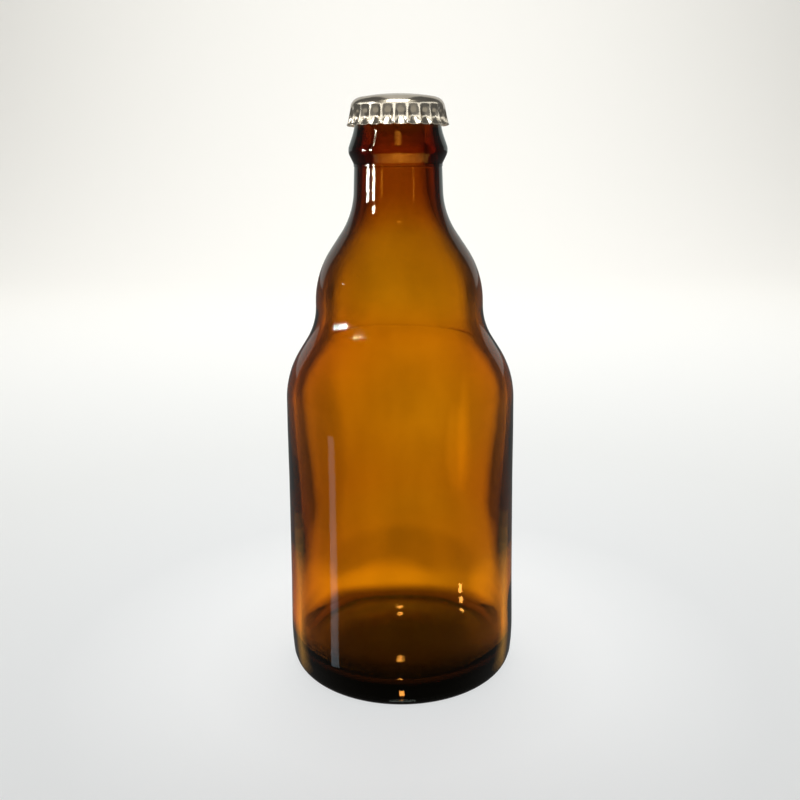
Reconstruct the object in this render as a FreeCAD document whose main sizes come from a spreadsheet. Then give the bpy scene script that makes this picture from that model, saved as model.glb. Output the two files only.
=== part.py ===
import FreeCAD, Part
import math
import os
import Sketcher

# Brown glass beer bottle of the short, round-shouldered kind, closed with a
# steel crown cap.  Millimetres, +Z up, the origin in the middle of the circle
# the bottle stands on.  Two pieces: "bottle" and "crown_cap".

doc = FreeCAD.newDocument("beer_bottle")
V = FreeCAD.Vector

# ------------------------------------------------------------------ sizes
SIZES = [
    # glass, outside, from the base up
    ("pushup_height", 2.6, "rise of the base's middle"),
    ("bearing_inner_radius", 29.5, "inner edge of the standing ring"),
    ("base_corner_radius", 2.7, "round under the heel"),
    ("plate_radius", 34.35, "radius at the base plate's seam"),
    ("seam_height", 2.7, "height of the base plate's seam"),
    ("heel_radius_at_seam", 34.5, "body mould's radius at the seam"),
    ("heel_top", 9.9, "heel curve meets the lower band"),
    ("band_radius", 35.05, "radius of both contact bands"),
    ("lower_band_top", 11.5, "top of the lower band"),
    ("panel_bottom", 26.0, "label panel, lower end"),
    ("panel_radius", 34.89, "label panel's radius"),
    ("panel_top", 58.0, "label panel, upper end"),
    ("upper_band_bottom", 74.0, "upper band, lower end"),
    ("shoulder_start", 83.2, "shoulder starts to turn in"),
    ("shoulder_radius", 27.2, "shoulder's outward curve"),
    ("shoulder_flat", 4.46, "straight part of the shoulder"),
    ("waist_radius", 19.4, "inward curve over the shoulder"),
    ("bulge_radius", 25.57, "radius of the neck's bulge"),
    ("bulge_top", 112.9, "bulge starts to turn in"),
    ("bulge_curve", 29.1, "bulge's outward curve"),
    ("bulge_flat", 6.05, "straight part over the bulge"),
    ("neck_curve", 24.1, "inward curve into the neck"),
    ("neck_base_radius", 13.52, "neck's radius at its lower end"),
    ("neck_top_radius", 13.28, "neck's radius under the finish"),
    ("parting_height", 153.6, "parting line under the finish"),
    ("finish_radius", 13.40, "finish's radius above the line"),
    ("finish_straight_top", 154.5, "top of the finish's straight"),
    ("bead_foot_curve", 1.3, "inward curve under the bead"),
    ("bead_crest_radius", 14.91, "bead's largest radius"),
    ("bead_curve", 3.9, "bead's outward curve"),
    ("bead_crest_height", 158.6, "height of the bead's crest"),
    ("groove_curve", 14.0, "inward curve over the bead"),
    ("groove_radius", 12.95, "groove under the locking ring"),
    ("groove_height", 167.6, "lower end of the groove"),
    ("groove_top", 168.2, "upper end of the groove"),
    ("ring_radius", 13.3, "locking ring's radius"),
    ("ring_bottom", 168.8, "lower edge of the locking ring"),
    ("lip_curve", 2.9, "round of the lip's outer edge"),
    ("lip_height", 174.03, "sealing face of the lip"),
    # glass, inside
    ("floor_middle", 6.4, "inner floor, middle"),
    ("floor_edge", 4.4, "inner floor, lowest ring"),
    ("floor_edge_radius", 26.2, "radius of that ring"),
    ("bore_body", 32.35, "inside radius of the body"),
    ("wave_foot", 33.0, "thick belt, lower end"),
    ("wave_low", 46.5, "thick belt, start of its thickest"),
    ("wave_high", 52.0, "thick belt, end of its thickest"),
    ("wave_head", 77.0, "thick belt, upper end"),
    ("bore_belt", 30.45, "inside radius of the thick belt"),
    ("inner_shoulder_start", 82.6, "inner shoulder starts"),
    ("inner_shoulder_radius", 25.2, "inner shoulder's curve"),
    ("inner_shoulder_flat", 4.3, "straight part inside"),
    ("inner_waist_radius", 21.8, "inner curve over the shoulder"),
    ("bore_bulge", 23.0, "inside radius of the bulge"),
    ("inner_bulge_top", 112.6, "inner bulge starts to turn in"),
    ("inner_bulge_curve", 26.8, "inner bulge's curve"),
    ("inner_bulge_flat", 7.0, "straight part inside"),
    ("inner_neck_curve", 27.5, "inner curve into the neck"),
    ("bore_neck_base", 8.7, "neck's bore, lower end"),
    ("bore_neck_top", 8.3, "neck's bore, upper end"),
    ("bore_step", 156.0, "bore narrows for the finish"),
    ("bore_mouth", 8.2, "mouth's bore"),
    ("mouth_start", 160.5, "mouth's bore starts"),
    ("mouth_round", 0.8, "round of the lip's inner edge"),
    # crown cap
    ("cap_sheet", 0.25, "steel sheet"),
    ("cap_top", 175.2, "middle of the cap's top"),
    ("cap_dome", 62.5, "curve of the cap's top"),
    ("cap_corner", 3.2, "round from top to skirt"),
    ("cap_shoulder_radius", 14.08, "skirt's upper end"),
    ("cap_shoulder_height", 171.8, "height of that end"),
    ("cap_skirt_radius", 15.12, "skirt's lower end"),
    ("cap_skirt_height", 166.3, "height of that end"),
    ("cap_rim_radius", 15.44, "edge of the rim"),
    ("cap_rim_height", 165.7, "underside of the rim"),
    ("cap_flutes", 24, "number of flutes"),
    ("cap_flute_turn", -86.5, "direction of one flute, degrees"),
    ("flute_depth_radius", 13.7, "cap's radius in a flute"),
    ("flute_height", 168.9, "height of a flute's deepest place"),
    ("flute_sweep", 4.4, "flute cutter's ring radius"),
    ("flute_round", 1.8, "flute cutter's tube radius"),
]

sheet = doc.addObject("Spreadsheet::Sheet", "sizes")
sheet.Label = "sizes"
for i, (alias, value, words) in enumerate(SIZES):
    row = i + 1
    sheet.set("A%d" % row, words)
    sheet.set("B%d" % row, str(value))
    sheet.setAlias("B%d" % row, alias)
doc.recompute()
S = {alias: float(sheet.get(alias)) for alias, _, _ in SIZES}


def plane(body, role):
    for feature in body.Origin.OriginFeatures:
        if feature.Role == role:
            return feature
    raise RuntimeError("no plane " + role)


def turn(r_gap, r_low, r_high, flat, r_shift=0.0):
    """Angle at which an outward curve, a straight and an inward curve close a
    difference in radius; the last curve stops r_shift (radians) short."""
    lo, hi = r_shift + 1e-6, 1.5
    for _ in range(80):
        t = 0.5 * (lo + hi)
        gap = r_low * (1 - math.cos(t)) + flat * math.sin(t)
        gap += r_high * (math.cos(r_shift) - math.cos(t))
        lo, hi = (t, hi) if gap < r_gap else (lo, t)
    return 0.5 * (lo + hi)


class Chain:
    """A profile drawn piece after piece.  Curves join tangent or at a corner,
    and every size comes from the sheet."""

    def __init__(self, sketch, x, z):
        self.sk = sketch
        self.at = (x, z)
        self.ends = []          # (geometry, start point, end point)
        self.first = None

    def _add(self, geo, start, end, to, tangent):
        g = self.sk.addGeometry(geo, False)
        if self.ends:
            pg, _, pe = self.ends[-1]
            kind = "Tangent" if tangent else "Coincident"
            self.sk.addConstraint(Sketcher.Constraint(kind, pg, pe, g, start))
        self.ends.append((g, start, end))
        self.at = to
        return g

    def line(self, x, z, tangent=False):
        geo = Part.LineSegment(V(self.at[0], self.at[1], 0), V(x, z, 0))
        return self._add(geo, 1, 2, (x, z), tangent)

    def arc(self, cx, cz, radius, a_from, a_to, tangent=True):
        """Arc about (cx, cz) from one angle to the other, in travel order."""
        circle = Part.Circle(V(cx, cz, 0), V(0, 0, 1), radius)
        end = (cx + radius * math.cos(a_to), cz + radius * math.sin(a_to))
        if a_to > a_from:
            geo = Part.ArcOfCircle(circle, a_from, a_to)
            return self._add(geo, 1, 2, end, tangent)
        geo = Part.ArcOfCircle(circle, a_to, a_from)
        return self._add(geo, 2, 1, end, tangent)

    def close(self):
        g0, s0, _ = self.ends[0]
        g = self.sk.addGeometry(Part.LineSegment(
            V(self.at[0], self.at[1], 0), V(*self.start_xy, 0)), False)
        pg, _, pe = self.ends[-1]
        self.sk.addConstraint(Sketcher.Constraint("Coincident", pg, pe, g, 1))
        self.sk.addConstraint(Sketcher.Constraint("Coincident", g, 2, g0, s0))
        return g

    def end_of(self, g):
        for geo, _, e in self.ends:
            if geo == g:
                return e

    def start_of(self, g):
        for geo, s, _ in self.ends:
            if geo == g:
                return s

    def _bind(self, index, alias):
        self.sk.setExpression("Constraints[%d]" % index, "sizes." + alias)

    def x(self, g, point, alias):
        i = self.sk.addConstraint(Sketcher.Constraint("DistanceX", -1, 1, g, point, S[alias]))
        self._bind(i, alias)

    def z(self, g, point, alias):
        i = self.sk.addConstraint(Sketcher.Constraint("DistanceY", -1, 1, g, point, S[alias]))
        self._bind(i, alias)

    def radius(self, g, alias):
        i = self.sk.addConstraint(Sketcher.Constraint("Radius", g, S[alias]))
        self._bind(i, alias)

    def length(self, g, alias):
        i = self.sk.addConstraint(Sketcher.Constraint("Distance", g, S[alias]))
        self._bind(i, alias)

    def flat(self, kind, g):
        self.sk.addConstraint(Sketcher.Constraint(kind, g))

    def on_axis(self, g, point):
        self.sk.addConstraint(Sketcher.Constraint("PointOnObject", g, point, -2))

    def on_ground(self, g, point):
        self.sk.addConstraint(Sketcher.Constraint("PointOnObject", g, point, -1))


def new_body(name):
    return doc.addObject("PartDesign::Body", name)


def new_sketch(body, name):
    sk = body.newObject("Sketcher::SketchObject", name)
    sk.AttachmentSupport = [(plane(body, "XZ_Plane"), "")]
    sk.MapMode = "FlatFace"
    return sk


def s_curve(c, r_end, first, flat, second, shift=0.0):
    """Outward curve, straight and inward curve from the chain's end, which
    stands upright, to the radius r_end.  Returns the three pieces."""
    x0, z0 = c.at
    t = turn(x0 - r_end, first, second, flat, shift)
    a = c.arc(x0 - first, z0, first, 0.0, t)
    x1, z1 = c.at
    b = c.line(x1 - flat * math.sin(t), z1 + flat * math.cos(t), True)
    x2, z2 = c.at
    cx, cz = x2 + second * math.cos(t), z2 + second * math.sin(t)
    d = c.arc(cx, cz, second, math.pi + t, math.pi + shift)
    return a, b, d


# ------------------------------------------------------------ bottle, outside
body = new_body("bottle")
body.Label = "bottle"
sk = new_sketch(body, "bottle_outside")

c = Chain(sk, 0.0, S["pushup_height"])
c.start_xy = (0.0, S["pushup_height"])
h, w = S["pushup_height"], S["bearing_inner_radius"]
big = (w * w + h * h) / (2 * h)
half = math.asin(w / big)
g_push = c.arc(0.0, h - big, big, math.pi / 2, math.pi / 2 - half, False)
R = S["base_corner_radius"]
g_bear = c.line(S["plate_radius"] - R, 0.0)
g_corner = c.arc(S["plate_radius"] - R, R, R, -math.pi / 2, 0.0)
g_seam = c.line(S["heel_radius_at_seam"], S["seam_height"])
dz = S["heel_top"] - S["seam_height"]
dr = S["band_radius"] - S["heel_radius_at_seam"]
heel = (dz * dz + dr * dr) / (2 * dr)
g_heel = c.arc(S["band_radius"] - heel, S["heel_top"], heel, -math.asin(dz / heel), 0.0, False)
g_low = c.line(S["band_radius"], S["lower_band_top"], True)
g_p1 = c.line(S["panel_radius"], S["panel_bottom"])
g_p2 = c.line(S["panel_radius"], S["panel_top"])
g_p3 = c.line(S["band_radius"], S["upper_band_bottom"])
g_up = c.line(S["band_radius"], S["shoulder_start"])
g_s1, g_s2, g_s3 = s_curve(c, S["bulge_radius"], S["shoulder_radius"],
                           S["shoulder_flat"], S["waist_radius"])
g_bulge = c.line(S["bulge_radius"], S["bulge_top"], True)
taper = math.atan((S["neck_base_radius"] - S["neck_top_radius"]) / 7.2)
g_n1, g_n2, g_n3 = s_curve(c, S["neck_base_radius"], S["bulge_curve"],
                           S["bulge_flat"], S["neck_curve"], taper)
g_neck = c.line(S["neck_top_radius"], S["parting_height"], True)
g_part = c.line(S["finish_radius"], S["parting_height"])
g_fin = c.line(S["finish_radius"], S["finish_straight_top"])

# bead: inward curve at its foot, straight flank, crest, straight flank, groove
bx, bz, br = (S["bead_crest_radius"] - S["bead_curve"], S["bead_crest_height"], S["bead_curve"])
fx, fz, fr = S["finish_radius"] + S["bead_foot_curve"], S["finish_straight_top"], S["bead_foot_curve"]
# flank tangent to both circles, crossing between them
dist = math.hypot(fx - bx, fz - bz)
base_a = math.atan2(fz - bz, fx - bx)
a1 = base_a + math.acos((br + fr) / dist)
g_f1 = c.arc(fx, fz, fr, math.pi, a1 + math.pi)
g_f2 = c.line(bx + br * math.cos(a1), bz + br * math.sin(a1), True)
gx, gz, gr = S["groove_radius"] + S["groove_curve"], S["groove_height"], S["groove_curve"]
dist = math.hypot(gx - bx, gz - bz)
base_a = math.atan2(gz - bz, gx - bx)
a2 = base_a - math.acos((br + gr) / dist)
g_f3 = c.arc(bx, bz, br, a1, a2)
g_f4 = c.line(gx + gr * math.cos(a2 + math.pi), gz + gr * math.sin(a2 + math.pi), True)
g_f5 = c.arc(gx, gz, gr, a2 + math.pi, math.pi)
g_groove = c.line(S["groove_radius"], S["groove_top"], True)
g_r1 = c.line(S["ring_radius"], S["ring_bottom"])
L = S["lip_curve"]
g_r2 = c.line(S["ring_radius"], S["lip_height"] - L)
g_lip = c.arc(S["ring_radius"] - L, S["lip_height"] - L, L, 0.0, math.pi / 2)
g_top = c.line(0.0, S["lip_height"], True)
g_axis = c.close()

c.on_axis(g_push, c.start_of(g_push))
c.on_axis(g_push, 3)
c.z(g_push, c.start_of(g_push), "pushup_height")
c.x(g_bear, 1, "bearing_inner_radius")
c.on_ground(g_bear, 1)
c.flat("Horizontal", g_bear)
c.radius(g_corner, "base_corner_radius")
c.x(g_corner, c.end_of(g_corner), "plate_radius")
c.z(g_corner, c.end_of(g_corner), "seam_height")
c.flat("Horizontal", g_seam)
c.x(g_seam, 2, "heel_radius_at_seam")
c.x(g_low, 1, "band_radius")
c.z(g_low, 1, "heel_top")
c.flat("Vertical", g_low)
c.z(g_low, 2, "lower_band_top")
c.x(g_p1, 2, "panel_radius")
c.z(g_p1, 2, "panel_bottom")
c.flat("Vertical", g_p2)
c.z(g_p2, 2, "panel_top")
c.x(g_p3, 2, "band_radius")
c.z(g_p3, 2, "upper_band_bottom")
c.flat("Vertical", g_up)
c.z(g_up, 2, "shoulder_start")
c.radius(g_s1, "shoulder_radius")
c.length(g_s2, "shoulder_flat")
c.radius(g_s3, "waist_radius")
c.flat("Vertical", g_bulge)
c.x(g_bulge, 1, "bulge_radius")
c.z(g_bulge, 2, "bulge_top")
c.radius(g_n1, "bulge_curve")
c.length(g_n2, "bulge_flat")
c.radius(g_n3, "neck_curve")
c.x(g_neck, 1, "neck_base_radius")
c.x(g_neck, 2, "neck_top_radius")
c.z(g_neck, 2, "parting_height")
c.flat("Horizontal", g_part)
c.x(g_part, 2, "finish_radius")
c.flat("Vertical", g_fin)
c.z(g_fin, 2, "finish_straight_top")
c.radius(g_f1, "bead_foot_curve")
c.radius(g_f3, "bead_curve")
i = sk.addConstraint(Sketcher.Constraint("DistanceX", -1, 1, g_f3, 3, bx))
sk.setExpression("Constraints[%d]" % i, "sizes.bead_crest_radius - sizes.bead_curve")
c.z(g_f3, 3, "bead_crest_height")
c.radius(g_f5, "groove_curve")
c.flat("Vertical", g_groove)
c.x(g_groove, 1, "groove_radius")
c.z(g_groove, 1, "groove_height")
c.z(g_groove, 2, "groove_top")
c.x(g_r1, 2, "ring_radius")
c.z(g_r1, 2, "ring_bottom")
c.flat("Vertical", g_r2)
c.radius(g_lip, "lip_curve")
c.flat("Horizontal", g_top)
c.z(g_top, 1, "lip_height")
c.on_axis(g_top, 2)

rev = body.newObject("PartDesign::Revolution", "bottle_blank")
rev.Profile = sk
rev.ReferenceAxis = (sk, ["V_Axis"])
rev.Angle = 360.0
sk.Visibility = False
body.Tip = rev
doc.recompute()
blank = rev.Shape.Volume

# ------------------------------------------------------------- bottle, inside
sk2 = new_sketch(body, "bottle_inside")
c = Chain(sk2, 0.0, S["floor_middle"])
c.start_xy = (0.0, S["floor_middle"])
drop, wide = S["floor_middle"] - S["floor_edge"], S["floor_edge_radius"]
big = (wide * wide + drop * drop) / (2 * drop)
half = math.asin(wide / big)
k_floor = c.arc(0.0, S["floor_middle"] - big, big, math.pi / 2, math.pi / 2 - half, False)
cr = S["bore_body"] - S["floor_edge_radius"]
k_corner = c.arc(S["floor_edge_radius"], S["floor_edge"] + cr, cr, -math.pi / 2, 0.0, False)
k_wall = c.line(S["bore_body"], S["wave_foot"], True)


def wave(c, x1, z1):
    """Two equal tangent curves between two upright stretches."""
    x0, z0 = c.at
    dr, dz = x1 - x0, z1 - z0
    t = 2 * math.atan(abs(dr) / dz)
    r = dz / (2 * math.sin(t))
    if dr < 0:
        a = c.arc(x0 - r, z0, r, 0.0, t)
        b = c.arc(x1 + r, z1, r, math.pi + t, math.pi)
    else:
        a = c.arc(x0 + r, z0, r, math.pi, math.pi - t)
        b = c.arc(x1 - r, z1, r, -t, 0.0)
    c.sk.addConstraint(Sketcher.Constraint("Equal", a, b))
    return a, b


wave(c, S["bore_belt"], S["wave_low"])
k_belt = c.line(S["bore_belt"], S["wave_high"], True)
wave(c, S["bore_body"], S["wave_head"])
k_wall2 = c.line(S["bore_body"], S["inner_shoulder_start"], True)
k_s1, k_s2, k_s3 = s_curve(c, S["bore_bulge"], S["inner_shoulder_radius"],
                           S["inner_shoulder_flat"], S["inner_waist_radius"])
k_bulge = c.line(S["bore_bulge"], S["inner_bulge_top"], True)
taper = math.atan((S["bore_neck_base"] - S["bore_neck_top"]) / 8.5)
k_n1, k_n2, k_n3 = s_curve(c, S["bore_neck_base"], S["inner_bulge_curve"],
                           S["inner_bulge_flat"], S["inner_neck_curve"], taper)
k_neck = c.line(S["bore_neck_top"], S["bore_step"], True)
k_step = c.line(S["bore_mouth"], S["mouth_start"])
m = S["mouth_round"]
k_mouth = c.line(S["bore_mouth"], S["lip_height"] - m)
k_round = c.arc(S["bore_mouth"] + m, S["lip_height"] - m, m, math.pi, math.pi / 2)
k_over = c.line(S["bore_mouth"] + m, S["lip_height"] + 2.0)
k_lid = c.line(0.0, S["lip_height"] + 2.0)
c.close()

c.on_axis(k_floor, c.start_of(k_floor))
c.on_axis(k_floor, 3)
c.z(k_floor, c.start_of(k_floor), "floor_middle")
c.x(k_corner, c.start_of(k_corner), "floor_edge_radius")
c.z(k_corner, c.start_of(k_corner), "floor_edge")
c.x(k_corner, 3, "floor_edge_radius")
c.flat("Vertical", k_wall)
c.x(k_wall, 1, "bore_body")
c.z(k_wall, 2, "wave_foot")
c.flat("Vertical", k_belt)
c.x(k_belt, 1, "bore_belt")
c.z(k_belt, 1, "wave_low")
c.z(k_belt, 2, "wave_high")
c.flat("Vertical", k_wall2)
c.x(k_wall2, 1, "bore_body")
c.z(k_wall2, 1, "wave_head")
c.z(k_wall2, 2, "inner_shoulder_start")
c.radius(k_s1, "inner_shoulder_radius")
c.length(k_s2, "inner_shoulder_flat")
c.radius(k_s3, "inner_waist_radius")
c.flat("Vertical", k_bulge)
c.x(k_bulge, 1, "bore_bulge")
c.z(k_bulge, 2, "inner_bulge_top")
c.radius(k_n1, "inner_bulge_curve")
c.length(k_n2, "inner_bulge_flat")
c.radius(k_n3, "inner_neck_curve")
c.x(k_neck, 1, "bore_neck_base")
c.x(k_neck, 2, "bore_neck_top")
c.z(k_neck, 2, "bore_step")
c.x(k_step, 2, "bore_mouth")
c.z(k_step, 2, "mouth_start")
c.flat("Vertical", k_mouth)
c.radius(k_round, "mouth_round")
i = sk2.addConstraint(Sketcher.Constraint("DistanceY", -1, 1, k_over, 1, S["lip_height"]))
sk2.setExpression("Constraints[%d]" % i, "sizes.lip_height")
c.sk.addConstraint(Sketcher.Constraint("Vertical", k_round, 3, k_over, 1))
c.flat("Vertical", k_over)
i = sk2.addConstraint(Sketcher.Constraint("DistanceY", -1, 1, k_over, 2, S["lip_height"] + 2.0))
sk2.setExpression("Constraints[%d]" % i, "sizes.lip_height + 2")
c.flat("Horizontal", k_lid)
c.on_axis(k_lid, 2)

cut = body.newObject("PartDesign::Groove", "bottle_cavity")
cut.Profile = sk2
cut.ReferenceAxis = (sk2, ["V_Axis"])
cut.Angle = 360.0
sk2.Visibility = False
body.Tip = cut
doc.recompute()
glass = cut.Shape.Volume
print("sketch dof", sk.solve(), sk2.solve(), "blank ml", blank / 1000, "glass ml", glass / 1000)
assert glass < blank * 0.5, "the cavity was not cut"

# ------------------------------------------------------------------ crown cap


def cap_solid(name, inset):
    """The cap's outside as a solid, or the space inside the sheet when inset
    is the sheet's thickness: a turned blank with the flutes scooped out."""
    b = new_body(name)
    s = new_sketch(b, name + "_profile")
    inner = inset > 0
    rd = S["cap_dome"] - inset
    rc = S["cap_corner"] - inset
    # the corner is tangent to the dome and ends where the skirt starts
    slope = math.atan2(S["cap_skirt_radius"] - S["cap_shoulder_radius"],
                       S["cap_shoulder_height"] - S["cap_skirt_height"])
    nx, nz = math.cos(slope), math.sin(slope)      # skirt's outward normal
    # corner centre: on the skirt's inner parallel and under the dome
    px, pz = S["cap_shoulder_radius"] - S["cap_corner"] * nx, None
    dome_cz = S["cap_top"] - S["cap_dome"]
    pz = dome_cz + math.sqrt((S["cap_dome"] - S["cap_corner"]) ** 2 - px ** 2)
    join = math.atan2(pz - dome_cz, px)            # angle of the dome-corner joint
    ch = Chain(s, 0.0, dome_cz + rd)
    ch.start_xy = (0.0, dome_cz + rd)
    g0 = ch.arc(0.0, dome_cz, rd, math.pi / 2, join, False)
    g1 = ch.arc(px, pz, rc, join, slope)
    # skirt to its lower end, then the rim's short flare
    x0, z0 = ch.at
    low = (S["cap_skirt_radius"] - inset * nx, S["cap_skirt_height"] - inset * nz)
    g2 = ch.line(low[0], low[1], True)
    fx, fz = (S["cap_rim_radius"] - S["cap_skirt_radius"],
              S["cap_skirt_height"] - S["cap_rim_height"])
    if inner:
        over = 0.8
        k = (low[1] - (S["cap_rim_height"] - over)) / fz
        g3 = ch.line(low[0] + fx * k, S["cap_rim_height"] - over)
    else:
        g3 = ch.line(S["cap_rim_radius"], S["cap_rim_height"])
    g4 = ch.line(0.0, ch.at[1])
    ch.close()
    ch.on_axis(g0, ch.start_of(g0))
    ch.on_axis(g0, 3)

    def put(kind, g, point, value, expr):
        j = s.addConstraint(Sketcher.Constraint(kind, -1, 1, g, point, value))
        s.setExpression("Constraints[%d]" % j, expr)

    tail = " - sizes.cap_sheet" if inner else ""
    put("DistanceY", g0, ch.start_of(g0), dome_cz + rd, "sizes.cap_top" + tail)
    j = s.addConstraint(Sketcher.Constraint("Radius", g0, rd))
    s.setExpression("Constraints[%d]" % j, "sizes.cap_dome" + tail)
    j = s.addConstraint(Sketcher.Constraint("Radius", g1, rc))
    s.setExpression("Constraints[%d]" % j, "sizes.cap_corner" + tail)
    run = "(sizes.cap_skirt_radius - sizes.cap_shoulder_radius)"
    fall = "(sizes.cap_shoulder_height - sizes.cap_skirt_height)"
    hyp = "sqrt(%s^2 + %s^2)" % (run, fall)
    put("DistanceX", g1, 3, px, "sizes.cap_shoulder_radius - sizes.cap_corner * %s / %s" % (fall, hyp))
    if inner:
        put("DistanceX", g2, 2, low[0], "sizes.cap_skirt_radius - sizes.cap_sheet * %s / %s" % (fall, hyp))
        put("DistanceY", g2, 2, low[1], "sizes.cap_skirt_height - sizes.cap_sheet * %s / %s" % (run, hyp))
        put("DistanceY", g3, 2, ch.at[1], "sizes.cap_rim_height - 0.8")
        flare = "(sizes.cap_rim_radius - sizes.cap_skirt_radius) / (sizes.cap_skirt_height - sizes.cap_rim_height)"
        put("DistanceX", g3, 2, low[0] + fx * k,
            "sizes.cap_skirt_radius - sizes.cap_sheet * %s / %s + %s * (sizes.cap_skirt_height - sizes.cap_sheet * %s / %s"
            " - sizes.cap_rim_height + 0.8)" % (fall, hyp, flare, run, hyp))
    else:
        put("DistanceX", g2, 2, low[0], "sizes.cap_skirt_radius")
        put("DistanceY", g2, 2, low[1], "sizes.cap_skirt_height")
        put("DistanceX", g3, 2, S["cap_rim_radius"], "sizes.cap_rim_radius")
        put("DistanceY", g3, 2, S["cap_rim_height"], "sizes.cap_rim_height")
    ch.flat("Horizontal", g4)
    ch.on_axis(g4, 2)

    r = b.newObject("PartDesign::Revolution", name + "_turned")
    r.Profile = s
    r.ReferenceAxis = (s, ["V_Axis"])
    r.Angle = 360.0
    s.Visibility = False
    b.Tip = r
    doc.recompute()
    full = r.Shape.Volume

    ring = b.newObject("PartDesign::SubtractiveTorus", name + "_scoop")
    ring.setExpression("Radius1", "sizes.flute_sweep")
    ring.setExpression("Radius2", "sizes.flute_round" + (" + sizes.cap_sheet" if inner else ""))
    ring.AttachmentSupport = [(plane(b, "XY_Plane"), "")]
    ring.MapMode = "FlatFace"
    far = S["flute_depth_radius"] + S["flute_sweep"] + S["flute_round"]
    a = math.radians(S["cap_flute_turn"])
    lay = FreeCAD.Rotation(V(0, 0, 1), S["cap_flute_turn"]).multiply(
        FreeCAD.Rotation(V(1, 0, 0), 90))
    ring.AttachmentOffset = FreeCAD.Placement(
        V(far * math.cos(a), far * math.sin(a), S["flute_height"]), lay)
    reach = "(sizes.flute_depth_radius + sizes.flute_sweep + sizes.flute_round)"
    ring.setExpression("AttachmentOffset.Base.x", reach + " * cos(sizes.cap_flute_turn * 1deg)")
    ring.setExpression("AttachmentOffset.Base.y", reach + " * sin(sizes.cap_flute_turn * 1deg)")
    ring.setExpression("AttachmentOffset.Base.z", "sizes.flute_height")
    b.Tip = ring
    doc.recompute()
    one = full - ring.Shape.Volume
    assert one > 0.5, "the scoop missed the cap"

    pat = b.newObject("PartDesign::PolarPattern", name + "_flutes")
    pat.Originals = [ring]
    pat.Axis = (s, ["V_Axis"])
    pat.Angle = 360.0
    b.Tip = pat
    pat.Occurrences = int(S["cap_flutes"])
    pat.setExpression("Occurrences", "sizes.cap_flutes")
    doc.recompute()
    print(name, "full", full, "one scoop", one, "all", full - pat.Shape.Volume)
    assert abs((full - pat.Shape.Volume) - one * S["cap_flutes"]) < 0.02 * full
    return b


shell = cap_solid("cap_outside", 0.0)
core = cap_solid("cap_inside", S["cap_sheet"])
cap = doc.addObject("Part::Cut", "crown_cap")
cap.Base = shell
cap.Tool = core
cap.Label = "crown_cap"
shell.Visibility = False
core.Visibility = False

doc.recompute()

# ---------------------------------------------------------------------- check
for obj in doc.Objects:
    state = list(getattr(obj, "State", []))
    if "Invalid" in state or "Error" in state:
        raise RuntimeError("%s is in state %s" % (obj.Name, state))
    shape = getattr(obj, "Shape", None)
    if shape is not None and obj.isDerivedFrom("Part::Feature"):
        if obj.TypeId.startswith(("Sketcher", "PartDesign::Plane", "PartDesign::Line")):
            continue
        if shape.isNull() or not shape.isValid():
            raise RuntimeError("%s has a bad shape" % obj.Name)

pieces = [body, cap]
over = body.Shape.common(cap.Shape).Volume
gap = body.Shape.distToShape(cap.Shape)[0]
print("overlap", over, "gap", gap)
os.makedirs("parts", exist_ok=True)
for piece in pieces:
    shape = piece.Shape
    print(piece.Label, "solids", len(shape.Solids), "volume", shape.Volume, "box", shape.BoundBox)
    assert len(shape.Solids) == 1
    shape.exportStep("parts/%s.step" % piece.Label)
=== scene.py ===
import bpy
import bmesh
import math
from mathutils import Vector, Matrix, noise


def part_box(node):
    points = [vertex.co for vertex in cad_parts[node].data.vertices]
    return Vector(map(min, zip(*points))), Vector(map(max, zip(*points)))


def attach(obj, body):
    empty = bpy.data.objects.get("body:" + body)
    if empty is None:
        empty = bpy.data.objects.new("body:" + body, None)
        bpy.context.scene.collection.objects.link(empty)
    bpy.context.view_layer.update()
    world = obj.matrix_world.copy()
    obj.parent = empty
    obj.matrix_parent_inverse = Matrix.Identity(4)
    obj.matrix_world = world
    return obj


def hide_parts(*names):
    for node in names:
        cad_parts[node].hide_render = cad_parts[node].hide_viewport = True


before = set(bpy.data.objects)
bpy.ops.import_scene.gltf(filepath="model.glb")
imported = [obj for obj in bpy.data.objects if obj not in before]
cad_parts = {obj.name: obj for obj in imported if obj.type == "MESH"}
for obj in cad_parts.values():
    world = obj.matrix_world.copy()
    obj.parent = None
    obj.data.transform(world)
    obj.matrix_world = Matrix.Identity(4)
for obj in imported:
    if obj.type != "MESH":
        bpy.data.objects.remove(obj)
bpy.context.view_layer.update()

CAP_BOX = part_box("crown_cap")
GLASS_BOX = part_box("bottle")
MM = 0.001


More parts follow.
